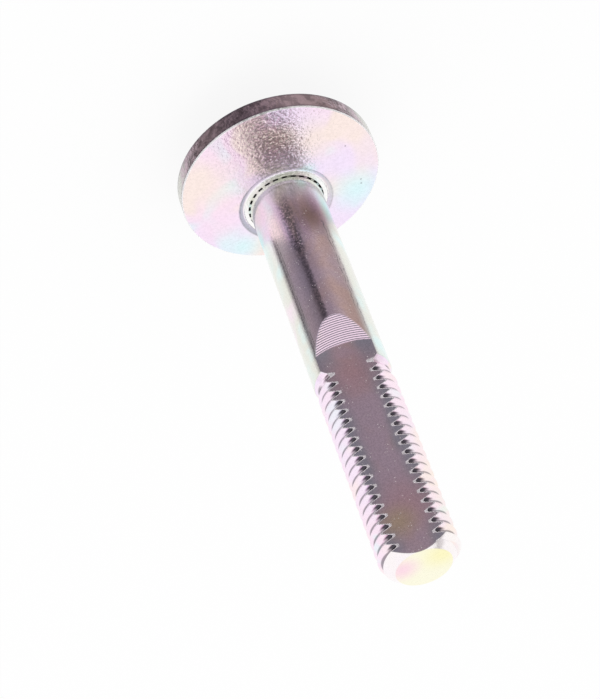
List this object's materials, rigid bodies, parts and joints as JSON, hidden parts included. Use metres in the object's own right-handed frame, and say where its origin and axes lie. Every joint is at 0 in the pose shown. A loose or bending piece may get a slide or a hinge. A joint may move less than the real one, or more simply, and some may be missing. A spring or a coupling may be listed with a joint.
{
  "type": "eccentric bolt",
  "caption": "Hex bolt with an eccentric disc pressed on under its head, a plain shank and a coarse thread cut along one side by a milled flat.",
  "frame": {"origin": "on the bolt's axis, at the outer face of its head", "axes": "+Z along the bolt's axis from the head to the tip; the flat and the disc's offset both face -Y; +X across the flat"},
  "size_m": [0.0318, 0.0318, 0.0827],
  "materials": {
    "passivated_bolt": "zinc plated, iridescent passivation",
    "passivated_disc": "zinc plated, iridescent passivation"
  },
  "bodies": {
    "root": {"bolt": "passivated_bolt", "eccentric_disc": "passivated_disc"}
  },
  "joints": []
}
